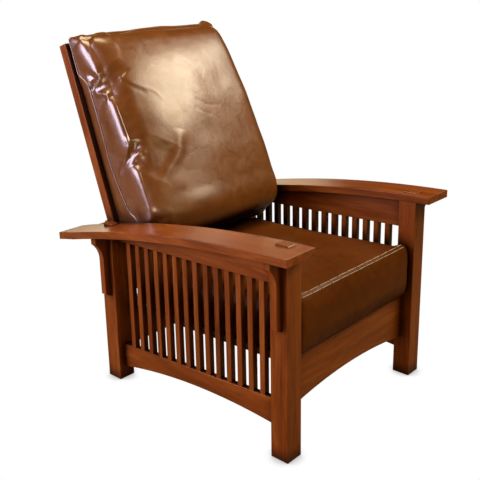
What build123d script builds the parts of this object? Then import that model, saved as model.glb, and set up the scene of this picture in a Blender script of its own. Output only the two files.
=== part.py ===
from build123d import *
import math
import os

# Mission reclining armchair with bowed arms, in millimetres, +Z up.
# The sitter faces -Y, so the sitter's left is +X. The floor is at zero height.
# While it is drawn, y is measured back from the front faces of the front legs.
# Every piece is moved at the end, so that the origin is below the middle of the whole chair.

# Stance
leg_size = 60
width_over_legs = 704
depth_over_legs = 780
edge_round = 2
arch_bevel = 1.4
glue_gap = 0.1
cut_overrun = 5

# Arms, bent to one long bow
arm_width = 119
arm_thickness = 24
arm_front_overhang = 45
arm_front_height = 628.4
arm_rear_leg_height = 527.3
arm_bow = 20.6
arm_tip_beyond_peg = 54.7
arm_tip_taper = 21
arm_tip_taper_length = 104

# Through tenons of the legs, standing proud of the arms
leg_tenon_width = 32
leg_tenon_depth = 44
leg_tenon_proud = 3
leg_tenon_chamfer = 2.5

# Corbels under the arms
corbel_thickness = 22
corbel_reach = 49
corbel_stem = 21.5
corbel_block = 22
corbel_curve = 58
corbel_length = 210
corbel_foot_slant = 11
dowel_diameter = 8
dowel_length = 34
corbel_dowel_spacing = 110

# Side panels: rails with a row of square spindles between them
side_rail_thickness = 20
side_rail_inset = 24.5
lower_rail_front_top = 166.5
lower_rail_rear_top = 124
lower_rail_depth = 83
lower_rail_arch = 27
upper_rail_front_depth = 90.5
upper_rail_rear_depth = 28
side_tenon_length = 22
tenon_thickness = 12
tenon_shoulder = 6
spindle_size = 19
spindle_count = 14
spindle_end_gap = 41
spindle_tenon = 10
spindle_tenon_length = 12

# Rails across the chair
cross_rail_thickness = 22
cross_tenon_gap = 1.5
front_rail_back_gap = 2
front_rail_top = 283
front_rail_end_depth = 151
front_rail_arch = 27
rear_rail_above_seat = 1.5
rear_rail_depth = 162

# Cleats and the drop-in seat that they carry
cleat_depth = 22
cleat_height = 25
cleat_end_gap = 42
screw_head_diameter = 8
screw_shank_diameter = 4
screw_length = 34
screw_head_height = 3
screw_count = 4
screw_end_distance = 40
seat_slope = 1.9
seat_end_gap = 1.5
seat_side_gap = 1
seat_member_width = 45
seat_member_thickness = 20
seat_dowel_spacing = 22
slat_count = 7
slat_width = 60
slat_thickness = 10
slat_bearing = 20

# Cushions: a leather cover over a core
soft_gap = 0.3
cover_thickness = 3

# Seat cushion
seat_cushion_side_gap = 1.2
seat_cushion_overhang = 24
seat_cushion_to_pivot = 51
seat_cushion_pull_in = 13
seat_cushion_edge_height = 172
seat_cushion_height = 203
seat_cushion_front_height = 184
seat_cushion_rear_height = 180
seat_cushion_side_bow = 5
seat_cushion_corner = 16

# Reclining back
back_tilt = 18.8
recline_range = 22.5
recline_steps = 3
pivot_in_leg = 17
pivot_above_seat = 81.5
stile_width = 50
stile_depth = 35
stile_below_pivot = 42
stile_above_pivot = 795
washer_thickness = 4
back_rail_thickness = 20
back_tenon_length = 28
crest_rail_height = 92
crest_rail_drop = 4
back_lower_rail_height = 60
back_lower_rail_rise = 34
back_slat_count = 4
back_slat_height = 48
back_slat_thickness = 14

# Back cushion, drawn up the stiles
back_cushion_side_gap = 5
back_cushion_panel_edge = 37
back_cushion_foot = 70
back_cushion_top = 804
back_cushion_depth = 274
back_cushion_crown = 10
back_cushion_seam_depth = 92
back_cushion_side_swell = 4
back_cushion_corner = 56
back_cushion_corner_pull = 16
back_cushion_level_shares = [0, 0.13, 0.37, 0.67, 0.9, 1]
back_cushion_depth_shares = [0.8, 1, 0.935, 0.85, 0.725, 0.48]
back_cushion_seam_shares = [1, 0.96, 0.75, 0.68, 0.6, 0.45]
back_cushion_pull_shares = [0.45, 0.15, 0, 0, 0.25, 1]

# Pivot bolts
pivot_bolt_diameter = 10
pivot_bolt_in_leg = 42
pivot_head_diameter = 24
pivot_head_height = 5
washer_diameter = 30
running_gap = 0.05
face_gap = 0.1

# Recline pegs
peg_diameter = 12.9
peg_in_arm = 40
peg_end_gap = 1
peg_knob_diameter = 22
peg_knob_length = 20
peg_knob_gap = 1
peg_neck_diameter = 9
peg_neck_length = 3

# Places that follow from the sizes above
leg_outer = width_over_legs / 2
leg_inner = leg_outer - leg_size
rear_leg_front = depth_over_legs - leg_size
arm_outer = leg_inner + arm_width
arm_front = -arm_front_overhang
rail_outer = leg_outer - side_rail_inset
rail_inner = rail_outer - side_rail_thickness
rail_middle = rail_outer - side_rail_thickness / 2
cross_tenon_length = rail_middle - tenon_thickness / 2 - cross_tenon_gap - leg_inner
front_rail_rear = leg_size - front_rail_back_gap
front_rail_setback = front_rail_rear - cross_rail_thickness
front_rail_end_bottom = front_rail_top - front_rail_end_depth
rear_rail_front = depth_over_legs - leg_size / 2 - cross_rail_thickness / 2
cleat_length = 2 * (leg_inner - cleat_end_gap)
seat_half_width = leg_inner - seat_side_gap
seat_front = front_rail_rear + seat_end_gap
seat_length = (rear_rail_front - seat_front - seat_end_gap) / math.cos(math.radians(seat_slope))
seat_rear_top = front_rail_top - seat_length * math.sin(math.radians(seat_slope))
rear_rail_top = seat_rear_top + rear_rail_above_seat
rear_rail_bottom = rear_rail_top - rear_rail_depth
pivot_y = rear_leg_front + pivot_in_leg
pivot_height = seat_rear_top + pivot_above_seat
seat_cushion_front = front_rail_setback - seat_cushion_overhang
seat_cushion_rear = pivot_y - seat_cushion_to_pivot
stile_outer = leg_inner - washer_thickness
stile_inner = stile_outer - stile_width
back_cushion_half_width = leg_inner - back_cushion_side_gap
seat_place = Pos(0, seat_front, front_rail_top) * Rot(X=-seat_slope)
back_place = Pos(0, pivot_y, pivot_height) * Rot(X=-back_tilt)


def block(x_start, x_end, y_start, y_end, z_start, z_end):
    """A box between two places along each axis."""
    size = Box(x_end - x_start, y_end - y_start, z_end - z_start)
    return Pos((x_start + x_end) / 2, (y_start + y_end) / 2, (z_start + z_end) / 2) * size


def side_board(outline, x_start, x_end):
    """A board between two places across the chair, cut to an outline of (y, z)."""
    face = Plane.YZ.offset(x_start) * make_face(outline)
    return extrude(face, x_end - x_start)


def front_board(outline, y_start, y_end):
    """A board between two places along the chair, cut to an outline of (x, z)."""
    face = Plane.XZ.offset(-y_end) * make_face(outline)
    return extrude(face, y_end - y_start)


def rod(diameter, x_start, x_end, y, z):
    """A round bar along x."""
    return Pos((x_start + x_end) / 2, y, z) * Rot(Y=90) * Cylinder(diameter / 2, x_end - x_start)


def rod_along_y(diameter, x, y_start, y_end, z):
    """A round bar along y."""
    return Pos(x, (y_start + y_end) / 2, z) * Rot(X=90) * Cylinder(diameter / 2, y_end - y_start)


def ease(board, shortest):
    """Rounds the long straight edges of an arched board, and bevels its long arched ones."""
    arched = board.edges().filter_by(GeomType.CIRCLE).filter_by(lambda edge: edge.length > shortest)
    board = chamfer(arched, arch_bevel)
    straight = board.edges().filter_by(GeomType.LINE).filter_by(lambda edge: edge.length > shortest)
    return fillet(straight, edge_round)


def other_side(piece):
    """The same piece on the sitter's right."""
    return mirror(piece, about=Plane.YZ)


# The bow of the arms: two arcs about one centre
bow_run = depth_over_legs - arm_front
bow_fall = arm_front_height - arm_rear_leg_height
bow_chord = math.hypot(bow_run, bow_fall)
arm_radius = (bow_chord ** 2 / 4 + arm_bow ** 2) / (2 * arm_bow)
bow_depth = arm_radius - arm_bow
arm_centre_y = (arm_front + depth_over_legs) / 2 - bow_depth * bow_fall / bow_chord
arm_centre_z = (arm_front_height + arm_rear_leg_height) / 2 - bow_depth * bow_run / bow_chord


def arm_height(y, depth):
    """Height of the bow at y, at a depth below the arm's top face."""
    radius = arm_radius - depth
    return arm_centre_z + math.sqrt(radius ** 2 - (y - arm_centre_y) ** 2)


# Recline peg holes, where the rear faces of the stiles meet the pegs
peg_offset = stile_depth / 2 + peg_diameter / 2 + soft_gap


def peg_hole_place(step):
    """Where the peg stands in the arm, at mid-thickness, when the back leans this many steps."""
    angle = math.radians(back_tilt + step * recline_range / recline_steps)
    along = (math.sin(angle), math.cos(angle))
    start = (pivot_y + peg_offset * along[1], pivot_height - peg_offset * along[0])
    centre = (arm_centre_y - start[0], arm_centre_z - start[1])
    reach = centre[0] * along[0] + centre[1] * along[1]
    radius = arm_radius - arm_thickness / 2
    travel = reach + math.sqrt(reach ** 2 - centre[0] ** 2 - centre[1] ** 2 + radius ** 2)
    return start[0] + travel * along[0], start[1] + travel * along[1]


peg_y, peg_z = peg_hole_place(recline_steps)
arm_rear = peg_y + arm_tip_beyond_peg
upper_rail_front_bottom = arm_height(leg_size, arm_thickness) - upper_rail_front_depth
upper_rail_rear_bottom = arm_height(rear_leg_front, arm_thickness) - upper_rail_rear_depth


def bow_edge(y_start, y_end, depth):
    """The arc of the bow between two places, at a depth below the arm's top face."""
    y_middle = (y_start + y_end) / 2
    return ThreePointArc(
        (y_start, arm_height(y_start, depth)),
        (y_middle, arm_height(y_middle, depth)),
        (y_end, arm_height(y_end, depth)),
    )


def under_arm(x_start, x_end):
    """All the room under an arm."""
    y_start = arm_front - cut_overrun
    y_end = arm_rear + cut_overrun
    edges = bow_edge(y_start, y_end, arm_thickness) + Polyline(
        (y_end, arm_height(y_end, arm_thickness)),
        (y_end, -cut_overrun),
        (y_start, -cut_overrun),
        (y_start, arm_height(y_start, arm_thickness)),
    )
    return side_board(edges, x_start - cut_overrun, x_end + cut_overrun)


def leg_tenon(y_middle, gap):
    """Tenon of a leg through the arm, or its mortise when a gap is given."""
    half_width = leg_tenon_width / 2 + gap
    half_depth = leg_tenon_depth / 2 + gap
    x_middle = leg_outer - leg_size / 2
    foot = arm_height(y_middle + half_depth, arm_thickness) - cut_overrun
    proud = leg_tenon_proud if gap == 0 else leg_tenon_proud + cut_overrun
    top = arm_height(y_middle - half_depth, 0) + proud
    tenon = block(
        x_middle - half_width, x_middle + half_width,
        y_middle - half_depth, y_middle + half_depth, foot, top,
    )
    if gap == 0:
        tenon = chamfer(tenon.faces().sort_by(Axis.Z)[-1].edges(), leg_tenon_chamfer)
    return tenon


def arm():
    """Bowed arm of the sitter's left, with its mortises and peg holes."""
    outline = (
        bow_edge(arm_front, arm_rear, 0)
        + Line((arm_rear, arm_height(arm_rear, 0)), (arm_rear, arm_height(arm_rear, arm_thickness)))
        + bow_edge(arm_front, arm_rear, arm_thickness)
        + Line((arm_front, arm_height(arm_front, arm_thickness)), (arm_front, arm_height(arm_front, 0)))
    )
    board = side_board(outline, leg_inner, arm_outer)
    taper_start = arm_rear - arm_tip_taper_length
    slope = arm_tip_taper / arm_tip_taper_length
    offcut = make_face(Polyline(
        (arm_outer, taper_start),
        (arm_outer - arm_tip_taper - slope * cut_overrun, arm_rear + cut_overrun),
        (arm_outer + cut_overrun, arm_rear + cut_overrun),
        (arm_outer + cut_overrun, taper_start),
        close=True,
    ))
    board -= extrude(offcut, arm_front_height + cut_overrun)
    board = fillet(board.edges(), edge_round)
    for y_middle in (leg_size / 2, depth_over_legs - leg_size / 2):
        board -= leg_tenon(y_middle, glue_gap)
    for step in range(recline_steps + 1):
        y, z = peg_hole_place(step)
        hole_end = leg_inner + peg_in_arm + peg_end_gap
        board -= rod(peg_diameter + 2 * running_gap, leg_inner - cut_overrun, hole_end, y, z)
    return board


def line_height(y, front_height, rear_height):
    """Height at y of a line between the legs, from its two ends."""
    share = (y - leg_size) / (rear_leg_front - leg_size)
    return front_height + share * (rear_height - front_height)


def side_tenon(y_start, y_end, z_start, z_end, gap):
    """Tenon of a side rail, or its mortise when a gap is given."""
    half = tenon_thickness / 2 + gap
    return block(rail_middle - half, rail_middle + half, y_start, y_end, z_start - gap, z_end + gap)


def side_tenons(gap):
    """The four tenons of a side panel's rails, as (front or rear, upper or lower)."""
    front_start = leg_size - side_tenon_length - gap
    rear_end = rear_leg_front + side_tenon_length + gap
    lower_front = lower_rail_front_top - lower_rail_depth
    lower_rear = lower_rail_rear_top - lower_rail_depth
    upper_front_top = arm_height(leg_size - side_tenon_length, arm_thickness)
    upper_rear_top = arm_height(rear_leg_front + side_tenon_length, arm_thickness)
    shoulder = tenon_shoulder
    return {
        ("front", "lower"): side_tenon(
            front_start, leg_size, lower_front + shoulder, lower_rail_front_top - shoulder, gap),
        ("rear", "lower"): side_tenon(
            rear_leg_front, rear_end, lower_rear + shoulder, lower_rail_rear_top - shoulder, gap),
        ("front", "upper"): side_tenon(
            front_start, leg_size, upper_rail_front_bottom + shoulder, upper_front_top - shoulder, gap),
        ("rear", "upper"): side_tenon(
            rear_leg_front, rear_end, upper_rail_rear_bottom + shoulder, upper_rear_top - shoulder, gap),
    }


def cross_tenon(rail_front, z_bottom, z_top, gap):
    """Tenon of a rail across the chair, on the sitter's left, or its mortise when a gap is given."""
    middle = rail_front + cross_rail_thickness / 2
    half = tenon_thickness / 2 + gap
    return block(
        leg_inner, leg_inner + cross_tenon_length + gap, middle - half, middle + half,
        z_bottom + tenon_shoulder - gap, z_top - tenon_shoulder + gap,
    )


def corbel_dowels_at(y_middle, gap):
    """The two dowels of a corbel, or their holes when a gap is given."""
    top = arm_height(y_middle, arm_thickness) - corbel_length / 2 + corbel_dowel_spacing / 2
    in_leg = dowel_length - corbel_stem + corbel_foot_slant / 2
    start = leg_outer - in_leg - gap
    return [
        rod(dowel_diameter + 2 * gap, start, start + dowel_length + 2 * gap, y_middle, z)
        for z in (top, top - corbel_dowel_spacing)
    ]


def leg(y_front, is_front):
    """A leg of the sitter's left, from the floor to its tenon through the arm."""
    y_middle = y_front + leg_size / 2
    top = arm_height(y_front, arm_thickness) + cut_overrun
    post = block(leg_inner, leg_outer, y_front, y_front + leg_size, 0, top)
    lasting = post.edges().filter_by(Axis.Z) + post.faces().sort_by(Axis.Z)[0].edges()
    post = fillet(lasting, edge_round) & under_arm(leg_inner, leg_outer)
    post += leg_tenon(y_middle, 0)
    place = "front" if is_front else "rear"
    for (end, level), mortise in side_tenons(glue_gap).items():
        if end == place:
            post -= mortise
    for hole in corbel_dowels_at(y_middle, glue_gap):
        post -= hole
    if is_front:
        post -= cross_tenon(front_rail_setback, front_rail_end_bottom, front_rail_top, glue_gap)
    else:
        post -= cross_tenon(rear_rail_front, rear_rail_bottom, rear_rail_top, glue_gap)
        post -= rod(
            pivot_bolt_diameter, leg_inner - cut_overrun, leg_inner + pivot_bolt_in_leg,
            pivot_y, pivot_height,
        )
    return post


def corbel(y_middle):
    """Bracket on the outer face of a leg, with a block top over a hollow curve."""
    top = arm_height(y_middle, arm_thickness)
    stem = leg_outer + corbel_stem
    reach = leg_outer + corbel_reach
    foot = top - corbel_length
    curve_end = top - corbel_block
    curve_start = curve_end - corbel_curve
    outline = (
        Line((leg_outer, foot), (stem, foot + corbel_foot_slant))
        + Line((stem, foot + corbel_foot_slant), (stem, curve_start))
        + TangentArc((stem, curve_start), (reach, curve_end), tangent=(0, 1))
        + Polyline(
            (reach, curve_end), (reach, top + arm_thickness),
            (leg_outer, top + arm_thickness), (leg_outer, foot))
    )
    start = y_middle - corbel_thickness / 2
    board = front_board(outline, start, start + corbel_thickness)
    outer = board.edges().filter_by(lambda edge: edge.center().X > leg_outer + corbel_stem / 4)
    board = fillet(outer.filter_by(lambda edge: edge.center().Z < top), edge_round / 2)
    board &= under_arm(leg_outer, reach)
    for hole in corbel_dowels_at(y_middle, glue_gap):
        board -= hole
    return board


# Side panel
lower_rail_front_bottom = lower_rail_front_top - lower_rail_depth
lower_rail_rear_bottom = lower_rail_rear_top - lower_rail_depth
spindle_first = leg_size + spindle_end_gap + spindle_size / 2
spindle_last = rear_leg_front - spindle_end_gap - spindle_size / 2
spindle_pitch = (spindle_last - spindle_first) / (spindle_count - 1)
spindle_places = [spindle_first + index * spindle_pitch for index in range(spindle_count)]


def spindle_stubs(y, gap):
    """Stub tenons of one spindle into both rails, or their mortises when a gap is given."""
    half = spindle_tenon / 2 + gap
    low = line_height(y, lower_rail_front_top, lower_rail_rear_top)
    high = line_height(y, upper_rail_front_bottom, upper_rail_rear_bottom)
    over = cut_overrun if gap else spindle_size
    reach = spindle_tenon_length + gap
    return [
        block(rail_middle - half, rail_middle + half, y - half, y + half, low - reach, low + over),
        block(rail_middle - half, rail_middle + half, y - half, y + half, high - over, high + reach),
    ]


def spindle(y):
    """One square spindle, cut to the slope of both rails."""
    half = spindle_size / 2
    ends = [
        (place, line_height(place, lower_rail_front_top, lower_rail_rear_top))
        for place in (y - half, y + half)
    ]
    tops = [
        (place, line_height(place, upper_rail_front_bottom, upper_rail_rear_bottom))
        for place in (y + half, y - half)
    ]
    bar = side_board(Polyline(*ends, *tops, close=True), rail_middle - half, rail_middle + half)
    bar = chamfer(bar.edges().filter_by(Axis.Z), edge_round / 2)
    for stub in spindle_stubs(y, 0):
        bar += stub
    return bar


def side_lower_rail():
    """Arched lower rail of a side panel."""
    middle = (leg_size + rear_leg_front) / 2
    arch = (lower_rail_front_bottom + lower_rail_rear_bottom) / 2 + lower_rail_arch
    outline = ThreePointArc(
        (leg_size, lower_rail_front_bottom), (middle, arch), (rear_leg_front, lower_rail_rear_bottom),
    ) + Polyline(
        (rear_leg_front, lower_rail_rear_bottom), (rear_leg_front, lower_rail_rear_top),
        (leg_size, lower_rail_front_top), (leg_size, lower_rail_front_bottom),
    )
    board = side_board(outline, rail_inner, rail_outer)
    board = ease(board, leg_size * 2)
    tenons = side_tenons(0)
    board += tenons["front", "lower"]
    board += tenons["rear", "lower"]
    for y in spindle_places:
        board -= spindle_stubs(y, glue_gap)[0]
    return board


def side_upper_rail():
    """Upper rail of a side panel, scribed to the underside of the arm."""
    outline = Polyline(
        (leg_size, arm_front_height), (leg_size, upper_rail_front_bottom),
        (rear_leg_front, upper_rail_rear_bottom), (rear_leg_front, arm_front_height), close=True,
    )
    board = side_board(outline, rail_inner, rail_outer)
    bottom_edges = board.faces().sort_by(Axis.Z)[0].edges()
    board = fillet(bottom_edges.filter_by(lambda edge: edge.length > leg_size * 2), edge_round)
    board &= under_arm(rail_inner, rail_outer)
    tenons = side_tenons(0)
    board += tenons["front", "upper"]
    board += tenons["rear", "upper"]
    for y in spindle_places:
        board -= spindle_stubs(y, glue_gap)[1]
    return board


def screw_places():
    """Where the cleat screws are, across the chair."""
    first = screw_end_distance - cleat_length / 2
    step = (cleat_length - 2 * screw_end_distance) / (screw_count - 1)
    return [first + index * step for index in range(screw_count)]


def cleat_screw(x, head_face, direction, z, gap):
    """A screw from the cleat into a rail, or its hole when a gap is given."""
    head_end = head_face + direction * (screw_head_height + gap)
    tip = head_face + direction * (screw_length + gap)
    outside = head_face - direction * (cut_overrun if gap else 0)
    head = rod_along_y(screw_head_diameter + 2 * gap, x, min(outside, head_end), max(outside, head_end), z)
    return head + rod_along_y(screw_shank_diameter + 2 * gap, x, min(head_face, tip), max(head_face, tip), z)


def seat_underside(y, drop):
    """Height of the seat frame's underside at y, or a drop below it."""
    slope = math.radians(seat_slope)
    fall = (y - seat_front) * math.tan(slope)
    return front_rail_top - fall - (seat_member_thickness + drop) / math.cos(slope)


front_cleat_rear = front_rail_rear + cleat_depth
rear_cleat_front = rear_rail_front - cleat_depth
front_screw_height = seat_underside(front_cleat_rear, cleat_height / 2)
rear_screw_height = seat_underside(rear_cleat_front, cleat_height / 2)


def cleat(y_start, screw_face, direction, screw_height):
    """Strip that carries one end of the drop-in seat, its top planed to the seat's slope."""
    y_end = y_start + cleat_depth
    outline = Polyline(
        (y_start, seat_underside(y_start, 0)), (y_end, seat_underside(y_end, 0)),
        (y_end, seat_underside(y_end, 0) - cleat_height),
        (y_start, seat_underside(y_start, 0) - cleat_height),
        close=True,
    )
    strip = side_board(outline, -cleat_length / 2, cleat_length / 2)
    for x in screw_places():
        strip -= cleat_screw(x, screw_face, direction, screw_height, glue_gap)
    return strip


def front_cleat():
    return cleat(front_rail_rear, front_cleat_rear, -1, front_screw_height)


def rear_cleat():
    return cleat(rear_cleat_front, rear_cleat_front, 1, rear_screw_height)


def cleat_screws():
    front = [cleat_screw(x, front_cleat_rear, -1, front_screw_height, 0) for x in screw_places()]
    rear = [cleat_screw(x, rear_cleat_front, 1, rear_screw_height, 0) for x in screw_places()]
    return front + rear


def front_seat_rail():
    """Arched rail between the front legs."""
    outline = ThreePointArc(
        (-leg_inner, front_rail_end_bottom), (0, front_rail_end_bottom + front_rail_arch),
        (leg_inner, front_rail_end_bottom),
    ) + Polyline(
        (leg_inner, front_rail_end_bottom), (leg_inner, front_rail_top),
        (-leg_inner, front_rail_top), (-leg_inner, front_rail_end_bottom),
    )
    board = front_board(outline, front_rail_setback, front_rail_rear)
    board = ease(board, leg_size * 3)
    tenon = cross_tenon(front_rail_setback, front_rail_end_bottom, front_rail_top, 0)
    board += tenon
    board += other_side(tenon)
    for x in screw_places():
        board -= cleat_screw(x, front_cleat_rear, -1, front_screw_height, glue_gap)
    return board


def rear_seat_rail():
    """Plain rail between the rear legs."""
    board = block(
        -leg_inner, leg_inner, rear_rail_front, rear_rail_front + cross_rail_thickness,
        rear_rail_bottom, rear_rail_top,
    )
    board = fillet(board.edges().filter_by(Axis.X), edge_round)
    tenon = cross_tenon(rear_rail_front, rear_rail_bottom, rear_rail_top, 0)
    board += tenon
    board += other_side(tenon)
    for x in screw_places():
        board -= cleat_screw(x, rear_cleat_front, 1, rear_screw_height, glue_gap)
    return board


# Drop-in seat, drawn flat with its top at zero height, then sloped
seat_inside = seat_half_width - seat_member_width


def seat_dowels(gap):
    """Dowels of the sitter's left corners, or their holes when a gap is given."""
    rods = []
    for corner in (seat_member_width / 2, seat_length - seat_member_width / 2):
        for side in (-1, 1):
            y = corner + side * seat_dowel_spacing / 2
            rods.append(rod(
                dowel_diameter + 2 * gap, seat_inside - dowel_length / 2 - gap,
                seat_inside + dowel_length / 2 + gap, y, -seat_member_thickness / 2,
            ))
    return rods


def seat_frame_side():
    """Side member of the seat frame, rebated for the slats."""
    bar = block(seat_inside, seat_half_width, 0, seat_length, -seat_member_thickness, 0)
    bar = fillet(bar.edges().filter_by(Axis.Y), edge_round / 2)
    bar -= block(
        seat_inside - cut_overrun, seat_inside + slat_bearing + glue_gap,
        seat_member_width, seat_length - seat_member_width, -slat_thickness, cut_overrun,
    )
    for hole in seat_dowels(glue_gap):
        bar -= hole
    return bar


def seat_frame_cross(y_start):
    """Front or rear member of the seat frame."""
    bar = block(-seat_inside, seat_inside, y_start, y_start + seat_member_width, -seat_member_thickness, 0)
    bar = fillet(bar.edges().filter_by(Axis.X), edge_round / 2)
    for hole in seat_dowels(glue_gap):
        bar -= hole
        bar -= other_side(hole)
    return bar


def seat_slats():
    """Cross slats, flush in the rebates."""
    room = seat_length - 2 * seat_member_width
    gap = (room - slat_count * slat_width) / (slat_count + 1)
    reach = seat_inside + slat_bearing
    slats = []
    for index in range(slat_count):
        start = seat_member_width + gap + index * (slat_width + gap)
        slats.append(block(-reach, reach, start, start + slat_width, -slat_thickness, 0))
    return slats


def seat_section(height, pull_in, inset):
    """Outline of the seat cushion at a height, with bowed sides and round corners."""
    half = leg_inner - seat_cushion_side_gap - seat_cushion_side_bow - pull_in - inset
    front = seat_cushion_front - seat_front + seat_cushion_side_bow + pull_in + inset
    rear = seat_cushion_rear - seat_front - seat_cushion_side_bow - inset
    corner = seat_cushion_corner
    bow = seat_cushion_side_bow
    middle = (front + rear) / 2
    turn = corner * (1 - math.cos(math.radians(45)))
    edges = (
        ThreePointArc((-half + corner, front), (0, front - bow), (half - corner, front))
        + ThreePointArc((half - corner, front), (half - turn, front + turn), (half, front + corner))
        + ThreePointArc((half, front + corner), (half + bow, middle), (half, rear - corner))
        + ThreePointArc((half, rear - corner), (half - turn, rear - turn), (half - corner, rear))
        + ThreePointArc((half - corner, rear), (0, rear + bow), (-half + corner, rear))
        + ThreePointArc((-half + corner, rear), (-half + turn, rear - turn), (-half, rear - corner))
        + ThreePointArc((-half, rear - corner), (-half - bow, middle), (-half, front + corner))
        + ThreePointArc((-half, front + corner), (-half + turn, front + turn), (-half + corner, front))
    )
    return Pos(0, 0, height) * make_face(edges)


def seat_cushion_form(inset):
    """Boxed cushion: its sides draw in at the bottom and top seams and its top is crowned both ways."""
    top = seat_cushion_height - inset
    form = loft([
        seat_section(soft_gap + inset, seat_cushion_pull_in, inset),
        seat_section(seat_cushion_height / 2, 0, inset),
        seat_section(seat_cushion_height + cut_overrun, seat_cushion_pull_in, inset),
    ])
    half = leg_inner + cut_overrun
    edge = seat_cushion_edge_height - inset
    across = ThreePointArc((-half, edge), (0, top), (half, edge)) + Polyline(
        (half, edge), (half, -cut_overrun), (-half, -cut_overrun), (-half, edge),
    )
    front = seat_cushion_front - seat_front - cut_overrun
    rear = seat_cushion_rear - seat_front + cut_overrun
    front_edge = seat_cushion_front_height - inset
    rear_edge = seat_cushion_rear_height - inset
    along = ThreePointArc(
        (front, front_edge), ((front + rear) / 2, top), (rear, rear_edge),
    ) + Polyline(
        (rear, rear_edge), (rear, -cut_overrun), (front, -cut_overrun), (front, front_edge),
    )
    form &= front_board(across, front, rear)
    form &= side_board(along, -half, half)
    return seat_place * form


# Reclining back, drawn upright with the pivot at the origin, then tilted
slat_room_start = back_lower_rail_rise + back_lower_rail_height
slat_room_end = stile_above_pivot - crest_rail_drop - crest_rail_height
slat_gap = (slat_room_end - slat_room_start - back_slat_count * back_slat_height) / (back_slat_count + 1)
slat_step = slat_gap + back_slat_height
back_members = [
    (back_lower_rail_rise, back_lower_rail_height, back_rail_thickness),
    (slat_room_end, crest_rail_height, back_rail_thickness),
] + [
    (slat_room_start + slat_gap + index * slat_step, back_slat_height, back_slat_thickness)
    for index in range(back_slat_count)
]


def back_tenon(member, gap):
    """Tenon of one of the back's rails or slats, or its mortise when a gap is given."""
    start, height, thickness = member
    half = thickness / 4 + gap
    return block(
        stile_inner, stile_inner + back_tenon_length + gap, -half, half,
        start + tenon_shoulder - gap, start + height - tenon_shoulder + gap,
    )


def back_stile():
    """Stile of the back on the sitter's left."""
    bar = block(
        stile_inner, stile_outer, -stile_depth / 2, stile_depth / 2, -stile_below_pivot, stile_above_pivot,
    )
    bar = fillet(bar.edges(), edge_round)
    for member in back_members:
        bar -= back_tenon(member, glue_gap)
    bar -= rod(
        pivot_bolt_diameter + 2 * running_gap, stile_inner - cut_overrun, stile_outer + cut_overrun, 0, 0,
    )
    return bar


def back_member(member):
    """A rail or slat between the stiles."""
    start, height, thickness = member
    bar = block(-stile_inner, stile_inner, -thickness / 2, thickness / 2, start, start + height)
    bar = fillet(bar.edges().filter_by(Axis.X), edge_round)
    tenon = back_tenon(member, 0)
    return bar + tenon + other_side(tenon)


def back_section(height, depth, seam_depth, side_pull, inset):
    """Plan of the back cushion at a height: a flat rear, a seam at each side and a crowned front."""
    stiles = -stile_depth / 2 - soft_gap
    rear = stiles - inset
    half = back_cushion_half_width - side_pull - back_cushion_side_swell - inset
    panel = half - back_cushion_panel_edge
    corner = back_cushion_corner
    front = stiles - depth + back_cushion_crown + inset
    seam = stiles - seam_depth
    boxing = (panel + (half - panel) * 3 / 4, rear - seam_depth / 3)
    wall_end = front + corner
    turn = corner * (1 - math.cos(math.radians(45)))
    swell = (half + back_cushion_side_swell, (seam + wall_end) / 2)
    points = [(panel, rear), boxing, (half, seam), swell, (half, wall_end)]
    points += [(half - turn, front + turn), (half - corner, front)]
    edges = Line((-panel, rear), (panel, rear))
    edges += ThreePointArc(points[6], (0, front - back_cushion_crown), (-points[6][0], points[6][1]))
    for side in (1, -1):
        places = [(side * x, y) for x, y in points]
        for start in (0, 2, 4):
            edges += ThreePointArc(*places[start:start + 3])
    return Pos(0, 0, height) * make_face(edges)


def back_cushion_form(inset):
    """Loose back cushion, crowned to the front, its foot flat on the seat cushion."""
    rise = back_cushion_top - inset - back_cushion_foot
    sections = [
        back_section(
            back_cushion_foot + level * rise, depth * back_cushion_depth,
            seam * back_cushion_seam_depth, pull * back_cushion_corner_pull, inset,
        )
        for level, depth, seam, pull in zip(
            back_cushion_level_shares, back_cushion_depth_shares,
            back_cushion_seam_shares, back_cushion_pull_shares)
    ]
    form = back_place * loft(sections)
    reach = width_over_legs
    below = seat_place * block(
        -reach, reach, -reach, depth_over_legs + reach, -reach, seat_cushion_height + soft_gap + inset,
    )
    return form - below


def cushion(form):
    """Leather cover and core of a cushion, from its form at an inset."""
    return form(0) - form(cover_thickness), form(cover_thickness + soft_gap)


def pivot_bolts():
    """Shouldered bolts through the stiles into the rear legs."""
    head_end = stile_inner - washer_thickness
    shank = rod(pivot_bolt_diameter, head_end, leg_inner + pivot_bolt_in_leg, 0, 0)
    head = rod(pivot_head_diameter, head_end - pivot_head_height, head_end, 0, 0)
    head = chamfer(head.edges().sort_by(Axis.X)[0], pivot_head_height / 4)
    bolt = shank + head
    return [bolt, other_side(bolt)]


def pivot_washers():
    """Friction washers on both sides of each stile."""
    washers = []
    bore = pivot_bolt_diameter + 2 * running_gap
    for start, end in (
        (stile_outer + face_gap, leg_inner),
        (stile_inner - washer_thickness, stile_inner - face_gap),
    ):
        washer = rod(washer_diameter, start, end, 0, 0)
        washer -= rod(bore, start - cut_overrun, end + cut_overrun, 0, 0)
        washers += [washer, other_side(washer)]
    return washers


def recline_peg():
    """Turned peg in the rearmost hole of the arm, its knob just inside the stile."""
    neck_start = stile_inner - peg_knob_gap - peg_neck_length
    knob_start = neck_start - peg_knob_length
    shank = rod(peg_diameter, neck_start + peg_neck_length, leg_inner + peg_in_arm, peg_y, peg_z)
    shank = chamfer(shank.edges().sort_by(Axis.X)[-1], edge_round / 2)
    neck = rod(peg_neck_diameter, neck_start, neck_start + peg_neck_length, peg_y, peg_z)
    knob = rod(peg_knob_diameter, knob_start, neck_start, peg_y, peg_z)
    knob = fillet(knob.edges().filter_by(GeomType.CIRCLE), peg_knob_length / 4)
    return shank + neck + knob


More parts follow.
